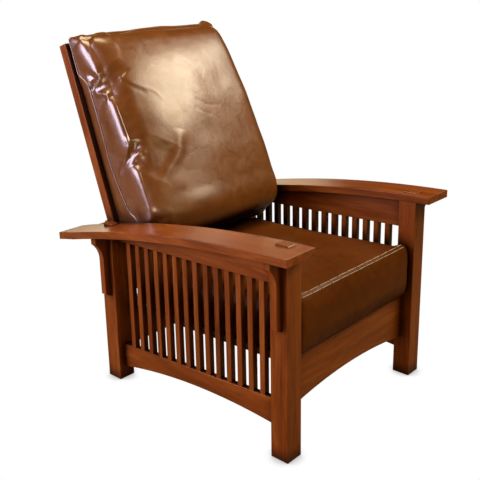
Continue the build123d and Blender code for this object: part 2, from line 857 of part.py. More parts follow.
def make_pieces():
    """Every node of the chair, as lists of solids."""
    rear_front = rear_leg_front
    front_middle = leg_size / 2
    rear_middle = depth_over_legs - leg_size / 2
    sided = {
        "front_leg": leg(0, True),
        "rear_leg": leg(rear_front, False),
        "arm": arm(),
        "front_corbel": corbel(front_middle),
        "rear_corbel": corbel(rear_middle),
        "side_lower_rail": side_lower_rail(),
        "side_upper_rail": side_upper_rail(),
        "seat_frame": seat_place * seat_frame_side(),
        "back_stile": back_place * back_stile(),
        "recline_peg": recline_peg(),
    }
    pieces = {}
    for name, piece in sided.items():
        pieces[name + "_left"] = [piece]
        pieces[name + "_right"] = [other_side(piece)]
    spindles = [spindle(y) for y in spindle_places]
    pieces["side_spindles_left"] = spindles
    pieces["side_spindles_right"] = [other_side(bar) for bar in spindles]
    dowels = corbel_dowels_at(front_middle, 0) + corbel_dowels_at(rear_middle, 0)
    pieces["corbel_dowels"] = dowels + [other_side(dowel) for dowel in dowels]
    pieces["front_seat_rail"] = [front_seat_rail()]
    pieces["rear_seat_rail"] = [rear_seat_rail()]
    pieces["front_seat_cleat"] = [front_cleat()]
    pieces["rear_seat_cleat"] = [rear_cleat()]
    pieces["cleat_screws"] = cleat_screws()
    pieces["seat_frame_front"] = [seat_place * seat_frame_cross(0)]
    pieces["seat_frame_rear"] = [seat_place * seat_frame_cross(seat_length - seat_member_width)]
    corner_dowels = seat_dowels(0)
    corner_dowels += [other_side(dowel) for dowel in corner_dowels]
    pieces["seat_frame_dowels"] = [seat_place * dowel for dowel in corner_dowels]
    pieces["seat_slats"] = [seat_place * slat for slat in seat_slats()]
    pieces["back_lower_rail"] = [back_place * back_member(back_members[0])]
    pieces["back_crest_rail"] = [back_place * back_member(back_members[1])]
    pieces["back_slats"] = [back_place * back_member(member) for member in back_members[2:]]
    for name, form in (("seat_cushion", seat_cushion_form), ("back_cushion", back_cushion_form)):
        cover, core = cushion(form)
        pieces[name + "_cover"] = [cover]
        pieces[name + "_core"] = [core]
    pieces["pivot_bolts"] = [back_place * bolt for bolt in pivot_bolts()]
    pieces["pivot_washers"] = [back_place * washer for washer in pivot_washers()]
    return pieces


back_top_rear = pivot_y + stile_above_pivot * math.sin(math.radians(back_tilt)) + (
    stile_depth / 2 * math.cos(math.radians(back_tilt)))
middle_y = (arm_front + back_top_rear) / 2
to_origin = Pos(0, -middle_y, 0)


def main():
    os.makedirs("parts", exist_ok=True)
    for name, solids in make_pieces().items():
        moved = [to_origin * solid for solid in solids]
        node = moved[0] if len(moved) == 1 else Compound(children=moved)
        export_step(node, "parts/" + name + ".step")
    print("middle_y", middle_y)
    print("pivot", 0, pivot_y - middle_y, pivot_height)
    print("peg", peg_y - middle_y, peg_z)


main()
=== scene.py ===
import math

import bpy
import numpy
from mathutils import Matrix, Vector, noise
from mathutils.bvhtree import BVHTree


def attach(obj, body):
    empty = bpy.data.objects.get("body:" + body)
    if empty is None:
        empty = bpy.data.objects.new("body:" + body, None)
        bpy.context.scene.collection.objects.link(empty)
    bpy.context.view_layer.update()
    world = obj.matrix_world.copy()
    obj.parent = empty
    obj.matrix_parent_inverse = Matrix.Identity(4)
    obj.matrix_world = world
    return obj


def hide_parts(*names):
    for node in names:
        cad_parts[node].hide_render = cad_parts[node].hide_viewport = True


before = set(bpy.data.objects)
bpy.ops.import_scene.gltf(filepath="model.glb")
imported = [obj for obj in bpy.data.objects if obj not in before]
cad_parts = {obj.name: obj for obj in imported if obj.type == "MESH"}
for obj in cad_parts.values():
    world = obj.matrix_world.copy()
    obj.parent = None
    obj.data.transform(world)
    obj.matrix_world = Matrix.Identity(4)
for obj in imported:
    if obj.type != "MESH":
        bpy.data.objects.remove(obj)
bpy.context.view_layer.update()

# All lengths are in metres. The sitter faces -Y, and -X is the sitter's right, which is nearest to the camera.
# The front legs' front faces lie this far in front of the frame's origin.
MIDDLE_Y = 0.482384

# Camera, solved from the photograph's own straight edges: angles in degrees, and pixels of a frame 480 wide
CAMERA_PLACE = (-1.7776, -1.1459 - MIDDLE_Y, 1.2884)
CAMERA_YAW = 47.43
CAMERA_PITCH = 15.96
CAMERA_ROLL = -1.17
FRAME_WIDTH = 480
FOCAL_PIXELS = 764.1
CENTRE_X = 238.7
CENTRE_Y = 198.3
SENSOR = 36.0


def add_camera():
    yaw, pitch, roll = (math.radians(a) for a in (CAMERA_YAW, CAMERA_PITCH, CAMERA_ROLL))
    ahead = Vector((math.sin(yaw) * math.cos(pitch), math.cos(yaw) * math.cos(pitch), -math.sin(pitch)))
    level = Vector((math.cos(yaw), -math.sin(yaw), 0))
    upright = level.cross(ahead)
    right = math.cos(roll) * level + math.sin(roll) * upright
    up = -math.sin(roll) * level + math.cos(roll) * upright
    data = bpy.data.cameras.new("camera")
    data.sensor_width = SENSOR
    data.lens = FOCAL_PIXELS * SENSOR / FRAME_WIDTH
    data.shift_x = (FRAME_WIDTH / 2 - CENTRE_X) / FRAME_WIDTH
    data.shift_y = (CENTRE_Y - FRAME_WIDTH / 2) / FRAME_WIDTH
    camera = bpy.data.objects.new("camera", data)
    camera.matrix_world = Matrix((
        (right.x, up.x, -ahead.x, CAMERA_PLACE[0]),
        (right.y, up.y, -ahead.y, CAMERA_PLACE[1]),
        (right.z, up.z, -ahead.z, CAMERA_PLACE[2]),
        (0, 0, 0, 1),
    ))
    bpy.context.scene.collection.objects.link(camera)
    bpy.context.scene.camera = camera


WHITE = (1, 1, 1)
AO_SAMPLES = 6


class Tree:
    """A small helper to build a node tree. A value may be a number, a colour or another node's output."""

    # The colour mix node's sockets
    SHARE, FIRST, SECOND, RESULT = 0, 6, 7, 2

    def __init__(self, owner):
        self.tree = owner.node_tree
        self.tree.nodes.clear()

    def add(self, kind, values=None, **settings):
        node = self.tree.nodes.new(kind)
        for name, value in settings.items():
            setattr(node, name, value)
        for name, value in (values or {}).items():
            if hasattr(value, "is_linked"):
                self.tree.links.new(value, node.inputs[name])
            else:
                node.inputs[name].default_value = value
        return node

    def place(self):
        return self.add("ShaderNodeTexCoord").outputs["Object"]

    def noise(self, place, scale, detail, roughness=0.5, distortion=0.0):
        return self.add("ShaderNodeTexNoise", {
            "Vector": place, "Scale": scale, "Detail": detail, "Roughness": roughness,
            "Distortion": distortion}).outputs["Fac"]

    def ramp(self, value, stops):
        node = self.add("ShaderNodeValToRGB", {"Fac": value})
        band = node.color_ramp
        while len(band.elements) < len(stops):
            band.elements.new(0.5)
        for element, (place, colour) in zip(band.elements, stops):
            element.position = place
            element.color = (*colour, 1)
        return node.outputs["Color"]

    def multiply(self, first, second, share=1.0):
        node = self.add("ShaderNodeMix", data_type="RGBA", blend_type="MULTIPLY")
        node.inputs[self.SHARE].default_value = share
        self.tree.links.new(first, node.inputs[self.FIRST])
        self.tree.links.new(second, node.inputs[self.SECOND])
        return node.outputs[self.RESULT]

    def spread(self, value, source, target):
        """Map one range of a value to another."""
        return self.add("ShaderNodeMapRange", {
            "Value": value, "From Min": source[0], "From Max": source[1],
            "To Min": target[0], "To Max": target[1]}).outputs["Result"]

    def painted_corner_shade(self, distance, stops, samples=AO_SAMPLES):
        """Painted shade: a tone that darkens the colour where surfaces meet."""
        corner = self.add("ShaderNodeAmbientOcclusion", {"Distance": distance}, samples=samples)
        return self.ramp(corner.outputs["AO"], stops)

    def bump(self, height, strength, distance, under=None, invert=False):
        values = {"Height": height, "Strength": strength, "Distance": distance}
        if under is not None:
            values["Normal"] = under
        return self.add("ShaderNodeBump", values, invert=invert).outputs["Normal"]

    def surface(self, **values):
        """The shader and the output. An underscore in a value's name stands for a space."""
        shader = self.add("ShaderNodeBsdfPrincipled", {name.replace("_", " "): v for name, v in values.items()})
        self.add("ShaderNodeOutputMaterial", {"Surface": shader.outputs["BSDF"]})


def new_material(name):
    material = bpy.data.materials.new(name)
    material.use_nodes = True
    return material, Tree(material)


# Stained wood: the grain runs along one axis of the chair, or up the tilted back
BACK_TILT = 18.8
GRAIN_TURNS = {
    "x": (0, math.radians(90), 0),
    "y": (math.radians(90), 0, 0),
    "z": (0, 0, 0),
    "back": (math.radians(-BACK_TILT), 0, 0),
}
STAIN = {
    "dark": (0.098, 0.020, 0.002),
    "middle": (0.196, 0.043, 0.005),
    "light": (0.295, 0.087, 0.012),
}
# Inner wood: its tones are kept darker than the stain as painted shade for the hidden parts seen between the
# spindles
INNER_SHADED_TONES = {
    "dark": (0.060, 0.022, 0.007),
    "middle": (0.105, 0.042, 0.014),
    "light": (0.160, 0.070, 0.026),
}
STAINED_ROUGHNESS = 0.32
INNER_ROUGHNESS = 0.5
# Stretches of the noise along the grain, and how near to a corner the painted shade darkens the wood
FIGURE_STRETCH = 0.09
PORE_STRETCH = 0.03
WOOD_SHADE_REACH = 0.05


def wood(name, grain, tones, roughness):
    material, t = new_material(name)
    along = t.add("ShaderNodeVectorRotate", {
        "Vector": t.place(), "Rotation": GRAIN_TURNS[grain]},
        rotation_type="EULER_XYZ", invert=True).outputs["Vector"]
    figure_place, pore_place = (
        t.add("ShaderNodeMapping", {"Vector": along, "Scale": (1, 1, stretch)}).outputs["Vector"]
        for stretch in (FIGURE_STRETCH, PORE_STRETCH))
    figure = t.noise(figure_place, scale=42.0, detail=6.0, roughness=0.62, distortion=0.6)
    broad = t.noise(figure_place, scale=9.0, detail=2.0)
    pores = t.noise(pore_place, scale=620.0, detail=3.0, roughness=0.7)
    body = t.ramp(figure, [(0.24, tones["dark"]), (0.52, tones["middle"]), (0.80, tones["light"])])
    shift = t.ramp(broad, [(0.3, (0.78, 0.76, 0.74)), (0.7, (1.16, 1.15, 1.14))])
    flecks = t.ramp(pores, [(0.34, (0.62, 0.56, 0.50)), (0.5, WHITE)])
    # Painted shade: the wood darkens in corners, between the spindles and where parts meet
    shade = t.painted_corner_shade(WOOD_SHADE_REACH, [(0.40, (0.04, 0.03, 0.02)), (0.72, (0.38, 0.34, 0.30)), (0.95, WHITE)])
    colour = t.multiply(t.multiply(t.multiply(body, shift), flecks, share=0.75), shade)
    height = t.add("ShaderNodeMath", {0: pores, 1: figure}, operation="ADD").outputs[0]
    t.surface(
        Base_Color=colour, Normal=t.bump(height, strength=0.12, distance=0.0006),
        Roughness=t.spread(figure, (0.3, 0.7), (roughness - 0.05, roughness + 0.08)),
        Coat_Weight=0.06, Coat_Roughness=0.16, Specular_IOR_Level=0.28, Specular_Tint=(1.0, 0.74, 0.48, 1))
    return material


# Leather: stops of its brown, and the range from the middle across which the front's coat turns to the sides'
LEATHER_TONES = ((0.32, (0.140, 0.041, 0.004)), (0.52, (0.160, 0.048, 0.005)), (0.72, (0.180, 0.056, 0.007)))
SIDE_PANEL = (0.235, 0.275)
# How far the painted shade reaches into the leather's folds and where it meets other parts
LEATHER_SHADE_REACH = 0.09
BUMP = 0.10


def leather(name, tone_shares, shine, roughness, front_coat, side_coat):
    material, t = new_material(name)
    place = t.place()
    patches = t.noise(place, scale=5.0, detail=4.0, roughness=0.6)
    veins = t.noise(place, scale=22.0, detail=6.0, roughness=0.65, distortion=0.8)
    pebbles = t.add("ShaderNodeTexVoronoi", {
        "Vector": place, "Scale": 520.0, "Randomness": 1.0}).outputs["Distance"]
    fine = t.noise(place, scale=160.0, detail=5.0, roughness=0.6)
    body = t.ramp(patches, [
        (at, [c * share for c, share in zip(colour, tone_shares)]) for at, colour in LEATHER_TONES])
    tone = t.ramp(veins, [(0.35, (0.84, 0.82, 0.80)), (0.62, (1.06, 1.05, 1.04))])
    cells = t.ramp(pebbles, [(0.0, WHITE), (0.55, (0.82, 0.80, 0.78))])
    # Painted shade: the leather darkens in its folds and where it meets other parts
    shade = t.painted_corner_shade(LEATHER_SHADE_REACH, [(0.30, (0.10, 0.07, 0.05)), (0.85, WHITE)])
    colour = t.multiply(t.multiply(t.multiply(body, tone), cells, share=0.6), shade)
    grain = t.bump(pebbles, BUMP, distance=0.0006, invert=True)
    wrinkles = t.bump(fine, BUMP, distance=0.0012, under=grain)
    folds = t.bump(veins, BUMP, distance=0.006, under=wrinkles)
    across = t.add("ShaderNodeSeparateXYZ", {"Vector": place}).outputs["X"]
    aside = t.add("ShaderNodeMath", {0: across}, operation="ABSOLUTE").outputs[0]
    t.surface(
        Base_Color=colour, Normal=folds,
        Roughness=t.spread(veins, (0.3, 0.7), (roughness - 0.05, roughness + 0.05)),
        Specular_IOR_Level=shine, Specular_Tint=(1.0, 0.84, 0.66, 1),
        Coat_Weight=t.spread(aside, SIDE_PANEL, (front_coat, side_coat)), Coat_Roughness=0.22)
    return material


def metal(name, colour, roughness):
    material, t = new_material(name)
    marks = t.noise(t.place(), scale=300.0, detail=4.0)
    t.surface(
        Base_Color=t.ramp(marks, [(0.3, [c * 0.8 for c in colour]), (0.7, colour)]), Metallic=1.0,
        Roughness=t.spread(marks, (0, 1), (roughness - 0.08, roughness + 0.12)))
    return material


def thread(name):
    material, t = new_material(name)
    twist = t.noise(t.place(), scale=900.0, detail=2.0)
    t.surface(Base_Color=t.ramp(twist, [(0.3, (0.42, 0.30, 0.15)), (0.7, (0.66, 0.52, 0.32))]), Roughness=0.6)
    return material


THREAD = thread("pale_thread")
STEEL = metal("plain_steel", (0.50, 0.49, 0.47), roughness=0.35)
BRASS = metal("plain_brass", (0.62, 0.44, 0.18), roughness=0.30)
LEATHER = leather(
    "back_leather", (0.95, 0.90, 0.9), shine=0.80, roughness=0.32, front_coat=0.02, side_coat=1.0)
# The seat's copy of the leather: its tones are darkened as painted shade, and its gloss is lower
SHADED_SEAT_LEATHER = leather(
    "seat_leather_painted_shade", (0.56, 0.44, 0.36), shine=0.08, roughness=0.42, front_coat=0.02, side_coat=0.0)
STAINED = {grain: wood("stained_wood_" + grain, grain, STAIN, STAINED_ROUGHNESS) for grain in GRAIN_TURNS}
# The inner parts take the darkened tones, which paint the shade they sit in
INNER = {grain: wood("inner_wood_" + grain, grain, INNER_SHADED_TONES, INNER_ROUGHNESS) for grain in ("x", "y")}

# The first row with a start that fits a node's name gives its material
FINISHES = (
    (("back_cushion", "seat_cushion"), LEATHER),
    (("back_stile",), STAINED["back"]),
    (("back_", "front_seat_rail", "rear_seat_rail", "recline_peg"), STAINED["x"]),
    (("front_leg", "rear_leg", "front_corbel", "rear_corbel", "side_spindles"), STAINED["z"]),
    (("side_", "arm_"), STAINED["y"]),
    (("pivot_bolts", "cleat_screws"), STEEL),
    (("pivot_washers",), BRASS),
    (("seat_frame_left", "seat_frame_right"), INNER["y"]),
    (("",), INNER["x"]),
)


def dress_nodes():
    for name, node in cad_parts.items():
        material = next(material for starts, material in FINISHES if name.startswith(starts))
        node.data.materials.clear()
        node.data.materials.append(material)


# Cushions: a shaped box is blown up as cloth, pinned at its seams, then creased. The back cushion is shaped
# flat, as places across, up the stiles from the pivot, and out from the stiles' front faces.
BACK_PIVOT = (0, 0.737 - MIDDLE_Y, 0.342008)
BACK_FACE = 0.0175


def on_back(x, up, out):
    """Where a place of the back cushion lies on the tilted back."""
    tilt = math.radians(BACK_TILT)
    ahead = BACK_FACE + out
    return Vector((
        x,
        BACK_PIVOT[1] + up * math.sin(tilt) - ahead * math.cos(tilt),
        BACK_PIVOT[2] + up * math.cos(tilt) + ahead * math.sin(tilt),
    ))


def between(value, table):
    """Read a table of (place, value) pairs, joined by a smooth line through them."""
    places = [place for place, _ in table]
    values = [held for _, held in table]
    if value <= places[0]:
        return values[0]
    if value >= places[-1]:
        return values[-1]
    number = next(i for i in range(len(places) - 1) if value <= places[i + 1])

    def slope(i):
        low, high = max(i - 1, 0), min(i + 1, len(places) - 1)
        return (values[high] - values[low]) / (places[high] - places[low])

    step = places[number + 1] - places[number]
    t = (value - places[number]) / step
    return (
        (2 * t ** 3 - 3 * t ** 2 + 1) * values[number] + (t ** 3 - 2 * t ** 2 + t) * step * slope(number)
        + (3 * t ** 2 - 2 * t ** 3) * values[number + 1] + (t ** 3 - t ** 2) * step * slope(number + 1)
    )


def ease(value, low, high):
    """A smooth rise from 0 at low to 1 at high."""
    share = min(1, max(0, (value - low) / (high - low)))
    return share * share * (3 - 2 * share)


def cube_grid(counts):
    """The surface of a unit cube as a grid: places by whole steps, and quads."""
    index, faces = {}, []
    for axis in range(3):
        u, v = (axis + 1) % 3, (axis + 2) % 3
        for level in (0, counts[axis]):
            for i in range(counts[u]):
                for j in range(counts[v]):
                    quad = []
                    for di, dj in ((0, 0), (1, 0), (1, 1), (0, 1)):
                        place = [0, 0, 0]
                        place[axis], place[u], place[v] = level, i + di, j + dj
                        quad.append(index.setdefault(tuple(place), len(index)))
                    faces.append(quad if level else quad[::-1])
    return index, faces


def rounded(point, low, high, radius, square=2.0):
    """Pull a point of a box's surface in to round its edges; a high square keeps the outline's corners."""
    inner = Vector([min(max(p, a + radius), b - radius) for p, a, b in zip(point, low, high)])
    out = Vector(point) - inner
    flat = (abs(out.x) ** square + abs(out.y) ** square) ** (1 / square)
    length = math.hypot(flat, out.z)
    return inner + out * (radius / length) if length > 1e-9 else Vector(point)


def new_object(name, verts, faces):
    mesh = bpy.data.meshes.new(name)
    mesh.from_pydata([tuple(v) for v in verts], [], faces)
    item = bpy.data.objects.new(name, mesh)
    bpy.context.scene.collection.objects.link(item)
    return item


def new_piece(name, verts, faces, material, body):
    piece = new_object(name, verts, faces)
    piece.data.polygons.foreach_set("use_smooth", [True] * len(piece.data.polygons))
    piece.data.materials.append(material)
    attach(piece, body)
    return piece


CLOTH_FRAMES = 20


def blow_up(verts, faces, pins, pressure, slack, cap):
    """Swell a closed skin as cloth held at its seams; no point moves further than the cap."""
    skin = new_object("skin", verts, faces)
    group = skin.vertex_groups.new(name="seams")
    for index, hold in pins.items():
        group.add([index], hold, "REPLACE")
    cloth = skin.modifiers.new("cloth", "CLOTH")
    settings = cloth.settings
    settings.quality = 6
    settings.mass = 0.6
    settings.tension_stiffness = settings.compression_stiffness = 30
    settings.shear_stiffness = 12
    settings.bending_stiffness = 2.5
    settings.use_pressure = True
    settings.uniform_pressure_force = pressure
    settings.shrink_min = -slack
    settings.effector_weights.gravity = 0
    settings.vertex_group_mass = "seams"
    cloth.collision_settings.use_collision = False
    cloth.point_cache.frame_start, cloth.point_cache.frame_end = 1, CLOTH_FRAMES
    scene = bpy.context.scene
    for number in range(1, CLOTH_FRAMES + 1):
        scene.frame_set(number)
    shaped = skin.evaluated_get(bpy.context.evaluated_depsgraph_get()).data
    moved = []
    for start, vertex in zip(verts, shaped.vertices):
        shift = vertex.co - start
        moved.append(start + shift * min(1, cap / max(shift.length, 1e-9)))
    bpy.data.objects.remove(skin)
    scene.frame_set(1)
    return moved


def subdivided(verts, faces):
    """The same skin with every cell smoothly cut in four: its points, normals and faces."""
    skin = new_object("skin", verts, faces)
    skin.modifiers.new("smooth", "SUBSURF").levels = 1
    fine = skin.evaluated_get(bpy.context.evaluated_depsgraph_get()).data
    places = numpy.array([v.co for v in fine.vertices])
    normals = numpy.array([v.normal for v in fine.vertices])
    cells = [tuple(f.vertices) for f in fine.polygons]
    bpy.data.objects.remove(skin)
    return places, normals, cells


def along_route(places, route):
    """How far each place is from a route, and how far along it the nearest point lies, 0 to 1."""
    route = numpy.array(route)
    steps = numpy.linalg.norm(numpy.diff(route, axis=0), axis=1)
    starts = numpy.concatenate(([0], numpy.cumsum(steps)))
    gap = numpy.full(len(places), 1e9)
    share = numpy.zeros(len(places))
    for first, second, start, step in zip(route, route[1:], starts, steps):
        t = numpy.clip((places - first) @ (second - first) / max(step ** 2, 1e-12), 0, 1)
        far = numpy.linalg.norm(places - first - t[:, None] * (second - first), axis=1)
        nearer = far < gap
        gap[nearer] = far[nearer]
        share[nearer] = (start + t[nearer] * step) / starts[-1]
    return gap, share


# A fold fades over this share of its route at each end, down to this share of its height
FADE_RUN = 0.25
FADE_LEFT = 0.04


def creased(places, normals, folds):
    """Raise ridges and sink valleys: each fold has a height, a width, a sharpness and a route."""
    lift = numpy.zeros(len(places))
    for height, width, sharpness, route in folds:
        on_skin = [places[numpy.argmin(numpy.linalg.norm(places - point, axis=1))] for point in route]
        gap, share = along_route(places, on_skin)
        ends = numpy.clip(numpy.minimum(share, 1 - share) / FADE_RUN, 0, 1)
        fade = FADE_LEFT + (1 - FADE_LEFT) * ends * (2 - ends)
        lift += height * numpy.exp(-(gap / width) ** sharpness) * fade
    return places + normals * lift[:, None]


def waved(places, normals, size, height, seed):
    """Give a skin the slow, uneven swell of stuffed leather."""
    offset = Vector((seed, seed, seed))
    lift = numpy.array([noise.noise(Vector(p) / size + offset) for p in places])
    return places + normals * lift[:, None] * height


def piping(name, points, radius, body):
    """A closed welt along a seam."""
    curve = bpy.data.curves.new(name, "CURVE")
    curve.dimensions = "3D"
    curve.bevel_depth = radius
    curve.bevel_resolution = 3
    line = curve.splines.new("POLY")
    line.points.add(len(points) - 1)
    for point, place in zip(line.points, points):
        point.co = (*place, 1)
    line.use_cyclic_u = True
    curve.materials.append(LEATHER)
    piece = bpy.data.objects.new(name, curve)
    bpy.context.scene.collection.objects.link(piece)
    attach(piece, body)


# Back cushion: its reach, then how far its front and its seam stand out at each height
BACK_HALF = 0.285
BACK_LOW = 0.072
BACK_HIGH = 0.800
BACK_DEPTH = (
    (0.072, 0.196), (0.110, 0.238), (0.167, 0.262), (0.240, 0.257), (0.340, 0.249),
    (0.450, 0.238), (0.562, 0.222), (0.640, 0.208), (0.710, 0.190), (0.800, 0.158),
)
BACK_SEAM_OUT = (
    (0.072, 0.112), (0.18, 0.118), (0.21, 0.092), (0.37, 0.060), (0.49, 0.062), (0.640, 0.056),
    (0.650, 0.050), (0.680, 0.024), (0.700, 0.020), (0.800, 0.024),
)
# Cells across, up and out, and how many of the last lie between the back panel and the seam
BACK_CELLS = (76, 100, 34)
BACK_SEAM_CELLS = 8
# The front grows thinner towards the sitter's right edge by this much
BACK_THIN = 0.052
# Radius of the front's rounded edge at the seam, what it gains further out, and how far short of the
# front it has gained it
BACK_EDGE = 0.016
BACK_EDGE_GAIN = 0.046
BACK_EDGE_RUN = 0.05
# How square the outline's corners are on the sitter's right and left
BACK_SQUARE_RIGHT = 4.5
BACK_SQUARE_LEFT = 3.0
# How far the back panel is drawn in behind the seam, and the share of that across
BACK_DRAWN = 0.040
BACK_DRAWN_ACROSS = 0.4
BACK_CROWN = 0.010
# The sides stay straight: what stands out past the first length is squeezed into the second
BACK_FREE = 0.276
BACK_SPARE = 0.0145
BACK_CLOTH = {"pressure": 4.0, "slack": 0.02, "cap": 0.014}
SEAM_HOLD = 1.0
PANEL_HOLD = 0.6
# Slow waves, as size, height and seed, and the run over which they fade in from this far out
BACK_WAVES = ((0.16, 0.0040, 3.7), (0.06, 0.0008, 9.1))
WAVES_FROM = 0.06
WAVES_RUN = 0.10
# The welt: its middle up the back, its radius, how proud it stands, and how far out it may reach across
WELT_MIDDLE = 0.43
WELT_RADIUS = 0.0028
WELT_PROUD = 0.0005
WELT_REACH = 0.2885


def back_point(a, b, c):
    """A place of the unswollen back cushion, from shares across, up and out."""
    half = BACK_HALF
    up = BACK_LOW + (BACK_HIGH - BACK_LOW) * b
    x = (2 * a - 1) * half
    front = between(up, BACK_DEPTH) - BACK_THIN * (min(0, x) / half) ** 2
    seam = between(up, BACK_SEAM_OUT)
    share = BACK_SEAM_CELLS / BACK_CELLS[2]
    out = seam * c / share if c <= share else seam + (front - seam) * (c - share) / (1 - share)
    edge = BACK_EDGE + BACK_EDGE_GAIN * ease(out, seam, front - BACK_EDGE_RUN)
    low, high = Vector((-half, BACK_LOW, -1)), Vector((half, BACK_HIGH, front))
    place = rounded((x, up, out), low, high, edge, BACK_SQUARE_RIGHT if x < 0 else BACK_SQUARE_LEFT)
    if c < share:
        drawn = BACK_DRAWN * (1 - math.sin(math.pi / 2 * c / share))
        place.x -= BACK_DRAWN_ACROSS * drawn * place.x / half
        middle = (BACK_LOW + BACK_HIGH) / 2
        place.y -= drawn * (place.y - middle) / (BACK_HIGH - middle)
    crown = (1 - (x / half) ** 2) * (1 - (2 * b - 1) ** 4)
    if out > seam:
        place.z += BACK_CROWN * crown * (out - seam) / (front - seam)
    return place


# Folds of the back cushion, most of them on the sitter's right side and beside it on the front: height,
# width, sharpness, then a route of places across, up and out
BACK_FOLDS = (
    (0.013, 0.026, 2.0, (
        (-0.280, 0.775, 0.050), (-0.285, 0.745, 0.062), (-0.285, 0.713, 0.077), (-0.285, 0.682, 0.096),
        (-0.285, 0.660, 0.115))),
    (0.011, 0.007, 1.4, (
        (-0.285, 0.668, 0.108), (-0.285, 0.651, 0.124), (-0.285, 0.640, 0.118), (-0.285, 0.631, 0.102),
        (-0.285, 0.624, 0.086), (-0.285, 0.616, 0.079))),
    (0.011, 0.007, 1.4, (
        (-0.285, 0.620, 0.079), (-0.285, 0.605, 0.090), (-0.285, 0.595, 0.118), (-0.285, 0.588, 0.134),
        (-0.285, 0.576, 0.136), (-0.285, 0.560, 0.122))),
    (-0.012, 0.013, 2.0, (
        (-0.285, 0.675, 0.066), (-0.285, 0.655, 0.094), (-0.285, 0.636, 0.080), (-0.285, 0.612, 0.062))),
    (-0.007, 0.022, 2.0, (
        (-0.285, 0.617, 0.094), (-0.285, 0.622, 0.130), (-0.283, 0.626, 0.167), (-0.273, 0.629, 0.186),
        (-0.255, 0.632, 0.200))),
    (-0.005, 0.028, 2.0, (
        (-0.280, 0.675, 0.165), (-0.272, 0.664, 0.182), (-0.262, 0.650, 0.194), (-0.255, 0.636, 0.202))),
    (0.0010, 0.006, 1.6, (
        (-0.255, 0.628, 0.202), (-0.210, 0.599, 0.221), (-0.152, 0.566, 0.228), (-0.132, 0.528, 0.234))),
    (-0.0008, 0.007, 1.6, (
        (-0.255, 0.626, 0.202), (-0.230, 0.596, 0.220), (-0.186, 0.562, 0.228))),
    (0.020, 0.040, 2.0, (
        (-0.285, 0.572, 0.118), (-0.285, 0.540, 0.130), (-0.285, 0.498, 0.136), (-0.285, 0.453, 0.142),
        (-0.285, 0.417, 0.144), (-0.285, 0.385, 0.130))),
    (0.010, 0.007, 1.4, (
        (-0.285, 0.448, 0.172), (-0.285, 0.418, 0.173), (-0.285, 0.393, 0.156), (-0.285, 0.364, 0.123),
        (-0.285, 0.345, 0.092))),
    (-0.010, 0.018, 2.0, (
        (-0.284, 0.432, 0.192), (-0.284, 0.404, 0.188), (-0.285, 0.380, 0.168), (-0.285, 0.354, 0.134),
        (-0.285, 0.336, 0.095))),
    (0.009, 0.013, 1.8, (
        (-0.262, 0.386, 0.228), (-0.272, 0.392, 0.215), (-0.284, 0.384, 0.189), (-0.285, 0.364, 0.157),
        (-0.285, 0.345, 0.124), (-0.285, 0.328, 0.082))),
    (0.018, 0.038, 2.0, (
        (-0.283, 0.352, 0.172), (-0.285, 0.310, 0.168), (-0.285, 0.277, 0.176), (-0.285, 0.243, 0.180),
        (-0.285, 0.197, 0.190), (-0.285, 0.160, 0.196))),
    (0.0040, 0.018, 2.0, (
        (-0.118, 0.430, 0.246), (-0.128, 0.398, 0.249), (-0.139, 0.368, 0.251), (-0.158, 0.346, 0.252),
        (-0.211, 0.311, 0.253), (-0.253, 0.282, 0.245))),
    (-0.008, 0.040, 2.0, (
        (-0.180, 0.400, 0.248), (-0.196, 0.378, 0.248), (-0.214, 0.352, 0.248), (-0.240, 0.325, 0.246),
        (-0.268, 0.298, 0.232))),
    (0.005, 0.060, 2.0, (
        (-0.260, 0.800, 0.110), (-0.235, 0.800, 0.130), (-0.200, 0.800, 0.140))),
    (-0.003, 0.040, 2.0, (
        (-0.120, 0.800, 0.080), (-0.115, 0.795, 0.140))),
    (0.003, 0.045, 2.0, (
        (0.030, 0.800, 0.080), (0.035, 0.795, 0.140))),
    (-0.0005, 0.006, 1.6, (
        (-0.020, 0.520, 0.236), (0.030, 0.490, 0.240), (0.090, 0.478, 0.236))),
    (-0.0005, 0.006, 1.6, (
        (-0.030, 0.495, 0.238), (0.010, 0.460, 0.242), (0.040, 0.452, 0.242))),
)
# Ears where the welt turns its top corners
BACK_EARS = (
    (0.006, 0.030, 2.0, (
        (-0.275, 0.785, 0.018), (-0.272, 0.795, 0.040), (-0.255, 0.797, 0.070))),
    (0.013, 0.024, 2.4, (
        (0.240, 0.800, 0.096), (0.266, 0.792, 0.104), (0.280, 0.772, 0.110))),
    (-0.007, 0.013, 2.0, (
        (0.200, 0.800, 0.040), (0.206, 0.795, 0.110))),
)


